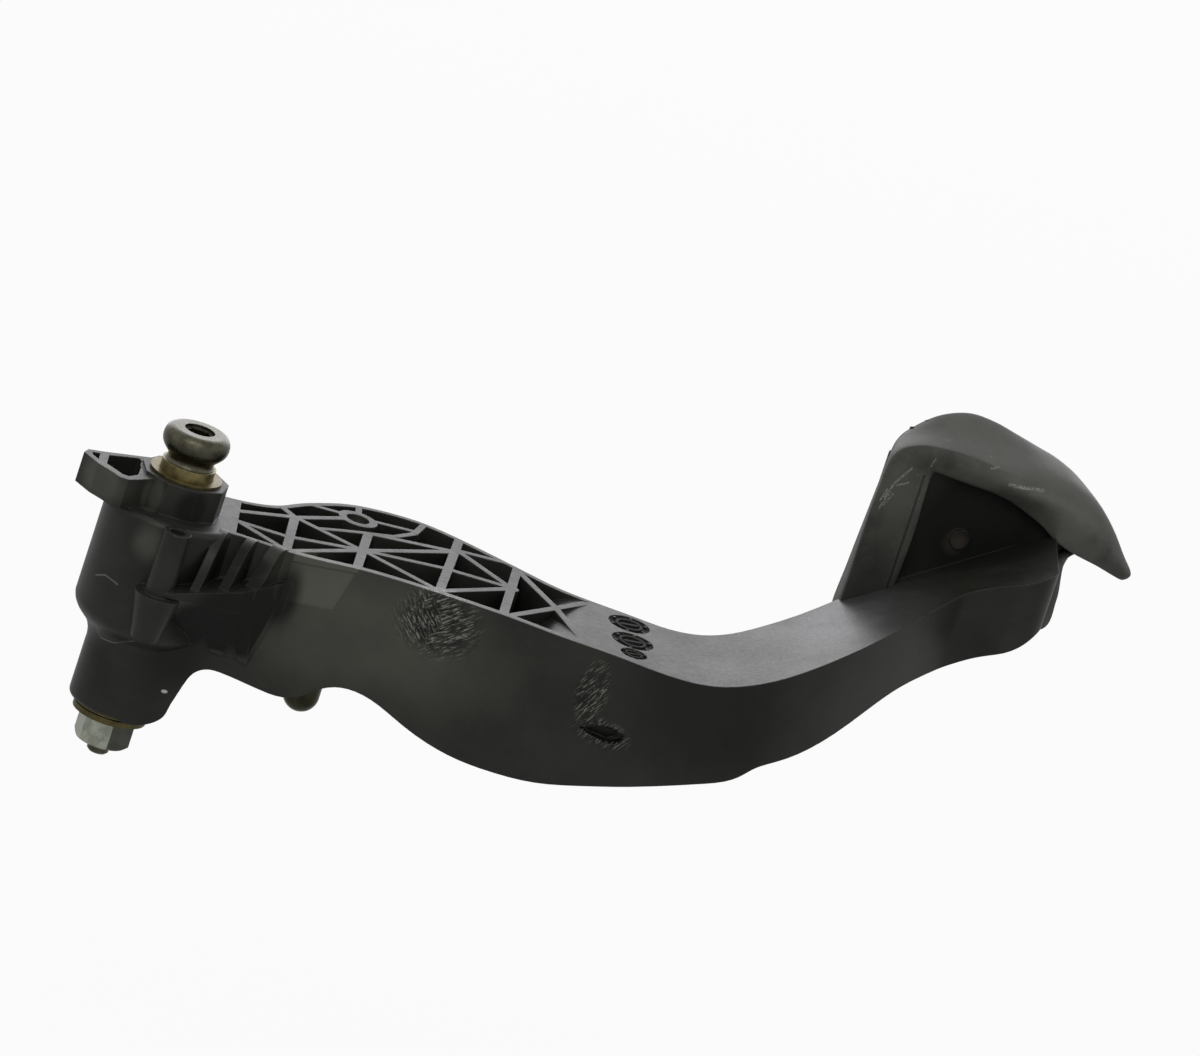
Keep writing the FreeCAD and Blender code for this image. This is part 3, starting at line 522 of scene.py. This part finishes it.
def rubber_finish(rgb):
    f = Finish("worn_rubber")
    cloud = f.noise(0.05, 4.0, 0.6)
    grain = f.noise(3.2, 3.0, 0.65)
    bloom = f.range(f.noise(0.09, 5.0, 0.7, 0.6), 0.45, 0.75)
    base = f.mix(f.range(cloud, 0.35, 0.65), shade(rgb, 0.6), shade(rgb, 1.35))
    base = f.mix(f.math("MULTIPLY", bloom, 0.5), base, shade(rgb, 1.9))
    # Dust and painted light on the upward faces, the handled open corner, and painted shade at the foot of
    # the left side.
    dust_and_top_light = f.times(f.range(f.facing_up(), 0.1, 0.6), f.range(cloud, 0.2, 0.6, 0.6, 1.0))
    base = f.mix(f.math("MULTIPLY", dust_and_top_light, 0.75), base, PAD_DUST_AND_TOP_LIGHT_COLOUR)
    base = f.mix(f.math("MULTIPLY", pad_blob(f, *PAD_HANDLED), 0.6), base, PAD_HANDLED_COLOUR)
    base = f.mix(f.math("MULTIPLY", pad_blob(f, *PAD_LOW_SHADE), 0.8), base, shade(rgb, 0.3))
    marks = f.most(*[pad_stroke(f, *mark) for mark in PAD_MARKS])
    scratched = f.math("MULTIPLY", marks, f.range(f.noise(1.6, 3.0, 0.7), 0.4, 0.6))
    base = f.mix(f.math("MULTIPLY", scratched, 0.8), base, PAD_MARK_COLOUR)
    groove = pad_stroke(f, *PAD_GROOVE)
    # The groove painted dark, as shade in the crease.
    base = f.mix(f.math("MULTIPLY", groove, 0.7), base, shade(rgb, 0.3))
    specks = f.times(f.range(f.cells(0.16), 0.05, 0.02), f.range(f.noise(0.05), 0.48, 0.6))
    base = f.mix(f.math("MULTIPLY", specks, 0.6), base, PAD_SPECK_COLOUR)
    # Convex edges painted lighter, as worn edges and as edge highlights.
    edge = f.edges(0.51, 0.58)
    base = f.mix(f.math("MULTIPLY", edge, 0.25), base, shade(rgb, 2.4))
    rough = f.range(cloud, 0.25, 0.75, 0.52, 0.64)
    normal = f.bump(grain, 0.04 * MM, 0.7)
    normal = f.bump(f.noise(0.22, 3.0, 0.6), 0.4 * MM, 0.5, normal)
    normal = f.bump(groove, -0.5 * MM, 0.8, normal)
    return f.give(Base_Color=base, Roughness=rough, IOR=1.4, Normal=normal)


RUST_YELLOW = (0.2, 0.12, 0.04)
RUST_BRONZE = (0.1, 0.05, 0.02)
RUST_PIN = (0.05, 0.036, 0.012)
# Bright bare steel, painted as a glint on the pin's end.
BARE_STEEL_GLINT = (0.42, 0.42, 0.35)
# Direction towards which the nut is painted darker.
NUT_DARKER_SIDE = (0.951, 0.309, 0.0)
PIN_TOP = -13.0            # level above which the push-rod pin's bared upper end is painted bright, as its glint, in mm


def metal_finish(name, rgb, rough_range, pits, rust=None, darker_towards=None, bared_glint_level=None):
    """Metal with pits, its bright specks painted as glints and its dark specks as shade in the pits. One
    argument gives a direction towards which the metal is painted darker, another the level above which it is
    painted bright, as a bared and glinting end.
    """
    f = Finish(name)
    cloud = f.noise(0.22, 4.0, 0.65)
    fine = f.noise(2.2, 4.0, 0.7)
    base = f.mix(f.range(cloud, 0.3, 0.7), shade(rgb, 0.7), shade(rgb, 1.25))
    # Bright specks painted as glints, dark specks painted as shade in the pits.
    base = f.mix(f.range(fine, 0.62, 0.72, 0.0, 0.8), base, shade(rgb, 3.0))
    base = f.mix(f.range(fine, 0.42, 0.3, 0.0, 0.55), base, shade(rgb, 0.4))
    if rust is not None:
        base = f.mix(f.range(f.noise(0.5, 5.0, 0.7, 0.4), 0.56, 0.7, 0.0, 0.6), base, rust)
    # Darker towards one side.
    if darker_towards is not None:
        darker_side = f.range(f.vector("DOT_PRODUCT", f.mm, darker_towards), -0.2, 0.2, 0.0, 0.85)
        base = f.mix(darker_side, base, shade(rgb, 0.1))
    # The bared upper end painted bright, as a glint.
    if bared_glint_level is not None:
        base = f.mix(f.range(f.axes()[2], bared_glint_level - 0.4, bared_glint_level - 0.1), base, BARE_STEEL_GLINT)
    turned = f.noise(1.4, 2.0, 0.5, at=f.turned(2, 0.0, (5.0, 5.0, 0.2)))
    rough = f.range(cloud, 0.3, 0.7, rough_range[0], rough_range[1])
    normal = f.rounded(0.3 * MM)
    normal = f.bump(fine, pits, 0.8, normal)
    normal = f.bump(turned, 0.02 * MM, 0.5, normal)
    return f.give(Base_Color=base, Metallic=1.0, Roughness=rough, Normal=normal)


def spline(points, count, closed):
    """Points along a smooth curve through the given ones."""
    points = np.asarray(points, float)
    size = len(points)
    spans = size if closed else size - 1
    made = []
    for k in range(count):
        t = k * spans / (count if closed else count - 1)
        i = min(int(t), spans - 1)
        x = t - i
        if closed:
            p = [points[(i + j) % size] for j in (-1, 0, 1, 2)]
        else:
            p = [points[min(max(i + j, 0), size - 1)] for j in (-1, 0, 1, 2)]
        a = 2 * p[1]
        b = p[2] - p[0]
        c = 2 * p[0] - 5 * p[1] + 4 * p[2] - p[3]
        d = 3 * p[1] - p[0] - 3 * p[2] + p[3]
        made.append(0.5 * (a + b * x + c * x * x + d * x ** 3))
    return np.array(made)


def pad_section(edge, fold, lip, centre, depth, thick, slack):
    """Control points (u, z, w) across the skin: tread, side, fold, lip and back along the inside.

    Slack is 0 where the fold is crisp and 1 where the rubber sweeps over in one curve. The numbers given to
    between() are shares of the way between two points, the others are mm."""
    edge = np.array([edge[0], edge[1], -depth])
    fold = np.array(fold)
    lip = np.array(lip)
    hub = np.array([centre[0], centre[1], -depth])
    floor = np.array([centre[0], centre[1], TREAD_THICKNESS - depth])

    def between(a, b, t, w=None):
        p = a + (b - a) * t
        if w is not None:
            p[2] = w
        return p

    side = between(edge, fold, 0.5)
    side[1] += 1.6 * slack
    crown = between(fold, lip, 0.5)
    crown[2] = max(fold[2], lip[2]) + 0.5 + 1.4 * slack
    inner_lip = between(lip, fold, 0.2)
    inner_lip[2] = lip[2] - thick
    inner_fold = between(lip, fold, 0.72)
    inner_fold[2] = fold[2] - thick
    inner_side = between(side, hub, 0.1, max(side[2], -depth + 6.0))
    inner_edge = between(edge, hub, 0.14, -depth + 4.6)
    return [
        hub, between(hub, edge, 0.5), between(hub, edge, 0.94), edge + np.array([0.0, 0.0, 1.3]),
        side, between(edge, fold, 0.93 - 0.08 * slack) + np.array([0.0, 1.2, 0.0]) * slack,
        between(fold, lip, 0.08 + 0.1 * slack) + np.array([0.0, 0.0, 0.2 + 0.6 * slack]), crown,
        between(lip, fold, 0.06), between(lip, fold, -0.02) - np.array([0.0, 0.0, thick * 0.5]), inner_lip,
        inner_fold, inner_side, inner_edge, between(inner_edge, floor, 0.5), floor,
    ]


def pad_skin(settings):
    around = settings.around
    depth = settings.tread_depth / MM
    thick = settings.lip_thickness / MM
    edge = spline(TREAD_RING, around, True)
    fold = spline(FOLD_RING, around, True)
    lip = spline(LIP_RING, around, True)
    slack = np.clip((fold[:, 0] - SLACK_U) / SLACK_U_RUN, 0.0, 1.0)
    slack *= np.clip((fold[:, 1] - SLACK_Z) / SLACK_Z_RUN, 0.0, 1.0)
    sections = []
    for i in range(around):
        controls = pad_section(edge[i], fold[i], lip[i], PAD_CENTRE, depth, thick, slack[i])
        sections.append(spline(controls, SKIN_ROWS, False))
    return np.array(sections), edge


def rib_strip(bm, u, z_low, z_high, depth, height):
    """One raised tread rib, with its top end running a little over the edge of the tread."""
    ramp = 1.6
    # Heights along the rib, each with its share of the full lift.
    stations = [(z_low, -0.6), (z_low + 0.7, 0.7), (z_low + ramp, 1.0)]
    for k in range(1, RIB_STEPS):
        stations.append((z_low + ramp + (z_high - z_low - 2.0 * ramp) * k / RIB_STEPS, 1.0))
    stations += [(z_high - ramp, 1.0), (z_high - 0.6, 0.85)]
    rows = []
    for z, lift in stations:
        rows.append([
            bm.verts.new(pad_mm(u + du, z, -depth + RIB_SUNK - (h * height + RIB_SUNK) * lift) * MM)
            for du, h in RIB_PROFILE])
    rows.append([bm.verts.new(pad_mm(u + du, z_high, RIB_WRAP - depth) * MM) for du, _ in RIB_PROFILE])
    for a, b in zip(rows, rows[1:]):
        for j in range(len(RIB_PROFILE) - 1):
            bm.faces.new((a[j], a[j + 1], b[j + 1], b[j]))
    bm.faces.new(rows[0][::-1])
    bm.faces.new(rows[-1])


def pad_mesh(settings):
    sections, edge = pad_skin(settings)
    bm = bmesh.new()
    around, rows = sections.shape[:2]
    first = bm.verts.new(pad_mm(*sections[0][0]) * MM)
    last = bm.verts.new(pad_mm(*sections[0][-1]) * MM)
    grid = [[bm.verts.new(pad_mm(*point) * MM) for point in section[1:-1]] for section in sections]
    for i in range(around):
        a = grid[i]
        b = grid[(i + 1) % around]
        bm.faces.new((first, a[0], b[0]))
        for j in range(rows - 3):
            bm.faces.new((a[j], a[j + 1], b[j + 1], b[j]))
        bm.faces.new((a[-1], last, b[-1]))
    depth = settings.tread_depth / MM
    height = settings.rib_height / MM
    pitch = settings.rib_pitch / MM
    u = edge[:, 0].min() + pitch
    while u < edge[:, 0].max() - pitch * RIB_LAST:
        near = edge[np.abs(edge[:, 0] - u) < RIB_REACH][:, 1]
        low = near[near < 0.0].max() + RIB_FOOT_GAP
        tops = near[near > 0.0]
        high = tops.mean() - SLOPE_TOP_GAP if u < SLOPE_END else tops.min() - RIB_TOP_GAP
        rib_strip(bm, u, low, high, depth, height)
        u += pitch
    bmesh.ops.recalc_face_normals(bm, faces=bm.faces)
    for face in bm.faces:
        face.smooth = True
    mesh = bpy.data.meshes.new("foot_pad")
    bm.to_mesh(mesh)
    bm.free()
    return mesh


def dress(node, material):
    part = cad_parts[node]
    part.data.materials.clear()
    part.data.materials.append(material)


class PEDAL_OT_dress_lever(bpy.types.Operator):
    """Gives the lever its filled plastic, with the rubs, chips and dust of use and with painted highlights
    and shade
    """
    bl_idname = "pedal.dress_lever"
    bl_label = "Dress the lever"

    def execute(self, context):
        dress("pedal_lever", moulding_finish(context.scene.pedal_finish.moulding))
        return {"FINISHED"}


class PEDAL_OT_dress_pivot(bpy.types.Operator):
    """Gives the bolt, sleeve, bushes, washer, nut and push-rod pin their metals"""
    bl_idname = "pedal.dress_pivot"
    bl_label = "Dress the pivot"

    def execute(self, context):
        colours = context.scene.pedal_finish
        dress("pivot_bolt", metal_finish("olive_steel", colours.bolt, (0.2, 0.36), 0.14 * MM))
        dress("spacer_sleeve", metal_finish(
            "yellow_plating", colours.yellow, (0.26, 0.42), 0.03 * MM, RUST_YELLOW))
        bronze = metal_finish(
            "dull_bronze", shade(colours.yellow, 0.55), (0.3, 0.46), 0.03 * MM, RUST_BRONZE)
        for node in ("upper_bush", "lower_bush"):
            dress(node, bronze)
        dress("washer", metal_finish(
            "olive_plating", shade(colours.yellow, 0.45), (0.34, 0.5), 0.03 * MM))
        dress("lock_nut", metal_finish(
            "bright_plating", colours.nut, (0.26, 0.36), 0.015 * MM, darker_towards=NUT_DARKER_SIDE))
        dress("pushrod_pin", metal_finish(
            "greased_steel", colours.pin, (0.22, 0.4), 0.05 * MM, RUST_PIN, bared_glint_level=PIN_TOP))
        return {"FINISHED"}


class PEDAL_OT_build_pad(bpy.types.Operator):
    """Builds the rubber foot pad with its ribbed tread, its lip and its unhooked corner"""
    bl_idname = "pedal.build_pad"
    bl_label = "Build the foot pad"

    def execute(self, context):
        scene = context.scene
        pad = bpy.data.objects.new("foot_pad", pad_mesh(scene.pedal_pad))
        scene.collection.objects.link(pad)
        pad.data.materials.append(rubber_finish(scene.pedal_finish.rubber))
        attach(pad, "pedal")
        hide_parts("pad_cover")
        return {"FINISHED"}


FLOOR_SEEN = 0.93          # share of plain white where the camera sees the floor
FLOOR_MIRRORED = 0.3       # the same where a glossy surface sees it
FLOOR_REACH = 9.0
WHITE = (1.0, 1.0, 1.0, 1.0)
# Lamps: place from the part's middle and size in metres, and tint.
KEY_PLACE, KEY_SIZE, KEY_TINT = Vector((-0.35, -1.5, 1.3)), 0.9, (1.0, 0.99, 0.95)
BACK_PLACE, BACK_SIZE, BACK_TINT = Vector((-0.1, 1.7, 0.6)), 2.4, (0.96, 0.95, 1.0)
CAMERA_PLACE = Vector((0.13523, -5.69499, 1.87803))
CAMERA_RIGHT = Vector((0.94943, 0.09703, 0.29862))
CAMERA_UP = Vector((-0.31399, 0.29339, 0.90296))


def tree_math(tree, operation, *values):
    node = tree.nodes.new("ShaderNodeMath")
    node.operation = operation
    for socket, value in zip(node.inputs, values):
        if hasattr(value, "is_linked"):
            tree.links.new(value, socket)
        else:
            socket.default_value = value
    return node.outputs[0]


def tree_blend(tree, amount, first, second):
    node = tree.nodes.new("ShaderNodeMixShader")
    for socket, value in zip(node.inputs, (amount, first, second)):
        tree.links.new(value, socket)
    return node.outputs[0]


def floor_finish(rgb):
    """A matt floor that the camera sees as near white, and that is clear from below."""
    material = bpy.data.materials.new("pale_floor")
    material.use_nodes = True
    tree = material.node_tree
    nodes = tree.nodes
    shader = nodes["Principled BSDF"]
    shader.inputs["Base Color"].default_value = colour(rgb)
    shader.inputs["Roughness"].default_value = 0.9
    white = nodes.new("ShaderNodeEmission")
    light = nodes.new("ShaderNodeLightPath")
    mirrored = tree_math(
        tree, "MAXIMUM", light.outputs["Is Glossy Ray"], light.outputs["Is Transmission Ray"])
    mirrored = tree_math(tree, "MULTIPLY", mirrored, FLOOR_MIRRORED)
    share = tree_math(tree, "MULTIPLY_ADD", light.outputs["Is Camera Ray"], FLOOR_SEEN, mirrored)
    top = tree_blend(tree, share, shader.outputs[0], white.outputs[0])
    under = nodes.new("ShaderNodeNewGeometry")
    clear = nodes.new("ShaderNodeBsdfTransparent")
    sided = tree_blend(tree, under.outputs["Backfacing"], top, clear.outputs[0])
    tree.links.new(sided, nodes["Material Output"].inputs["Surface"])
    return material


def white_room(scene, strength):
    """A world that lights the part softly and is itself seen as plain white."""
    world = bpy.data.worlds.new("white_room")
    scene.world = world
    world.use_nodes = True
    tree = world.node_tree
    room = tree.nodes["Background"]
    room.inputs["Color"].default_value = WHITE
    room.inputs["Strength"].default_value = strength
    white = tree.nodes.new("ShaderNodeBackground")
    white.inputs["Color"].default_value = WHITE
    light = tree.nodes.new("ShaderNodeLightPath")
    seen = tree_math(tree, "MAXIMUM", light.outputs["Is Camera Ray"], light.outputs["Is Glossy Ray"])
    seen = tree_math(tree, "MAXIMUM", seen, light.outputs["Is Transmission Ray"])
    blend = tree_blend(tree, seen, room.outputs[0], white.outputs[0])
    tree.links.new(blend, tree.nodes["World Output"].inputs["Surface"])


def photo_camera(scene, lens):
    """The camera at the photograph's viewpoint."""
    data = bpy.data.cameras.new("camera")
    data.lens = lens
    data.sensor_width = 36.0
    data.sensor_fit = "HORIZONTAL"
    data.clip_start = 0.1
    data.clip_end = 40.0
    camera = bpy.data.objects.new("camera", data)
    turn = Matrix((CAMERA_RIGHT, CAMERA_UP, CAMERA_RIGHT.cross(CAMERA_UP))).transposed()
    camera.matrix_world = Matrix.Translation(CAMERA_PLACE) @ turn.to_4x4()
    scene.collection.objects.link(camera)
    scene.camera = camera


def area_lamp(scene, name, place, target, size, power, tint):
    data = bpy.data.lights.new(name, "AREA")
    data.shape = "DISK"
    data.size = size
    data.energy = power
    data.color = tint
    lamp = bpy.data.objects.new(name, data)
    lamp.location = place
    lamp.rotation_euler = (Vector(target) - Vector(place)).to_track_quat("-Z", "Y").to_euler()
    scene.collection.objects.link(lamp)


class PEDAL_OT_set_stage(bpy.types.Operator):
    """Sets the pale floor, the soft lamps, the surrounding light and the camera"""
    bl_idname = "pedal.set_stage"
    bl_label = "Set the stage"

    def execute(self, context):
        scene = context.scene
        stage = scene.pedal_stage
        mesh = bpy.data.meshes.new("floor")
        level = CAD_BOX[0].z - stage.drop
        turns = ((-1, -1), (1, -1), (1, 1), (-1, 1))
        corners = [(x * FLOOR_REACH, y * FLOOR_REACH, level) for x, y in turns]
        mesh.from_pydata(corners, [], [(0, 1, 2, 3)])
        floor = bpy.data.objects.new("floor", mesh)
        floor.data.materials.append(floor_finish(stage.floor))
        scene.collection.objects.link(floor)

        middle = (CAD_BOX[0] + CAD_BOX[1]) / 2
        area_lamp(scene, "key_lamp", middle + KEY_PLACE, middle, KEY_SIZE, stage.key, KEY_TINT)
        area_lamp(scene, "back_lamp", middle + BACK_PLACE, middle, BACK_SIZE, stage.back, BACK_TINT)
        white_room(scene, stage.ambient)
        photo_camera(scene, stage.lens)
        scene.view_settings.view_transform = "Standard"
        return {"FINISHED"}


class PEDAL_PT_sidebar(bpy.types.Panel):
    """Lists the steps that dress the clutch pedal"""
    bl_idname = "PEDAL_PT_sidebar"
    bl_label = "Clutch Pedal"
    bl_space_type = "VIEW_3D"
    bl_region_type = "UI"
    bl_category = "Pedal"

    def draw(self, context):
        layout = self.layout
        for group in (context.scene.pedal_pad, context.scene.pedal_finish, context.scene.pedal_stage):
            box = layout.box()
            for name in group.bl_rna.properties.keys():
                if name not in ("rna_type", "name"):
                    box.prop(group, name)
        for step in STEPS:
            layout.operator(step.bl_idname)


STEPS = (PEDAL_OT_dress_lever, PEDAL_OT_dress_pivot, PEDAL_OT_build_pad, PEDAL_OT_set_stage)
CLASSES = (PedalPadSettings, PedalFinishSettings, PedalStageSettings) + STEPS + (PEDAL_PT_sidebar,)


def register():
    for cls in CLASSES:
        bpy.utils.register_class(cls)
    bpy.types.Scene.pedal_pad = PointerProperty(type=PedalPadSettings)
    bpy.types.Scene.pedal_finish = PointerProperty(type=PedalFinishSettings)
    bpy.types.Scene.pedal_stage = PointerProperty(type=PedalStageSettings)


def unregister():
    del bpy.types.Scene.pedal_stage
    del bpy.types.Scene.pedal_finish
    del bpy.types.Scene.pedal_pad
    for cls in reversed(CLASSES):
        bpy.utils.unregister_class(cls)


def main():
    register()
    bpy.ops.pedal.set_stage()
    bpy.ops.pedal.dress_lever()
    bpy.ops.pedal.dress_pivot()
    bpy.ops.pedal.build_pad()
    bpy.context.view_layer.update()


if __name__ == "__main__":
    main()
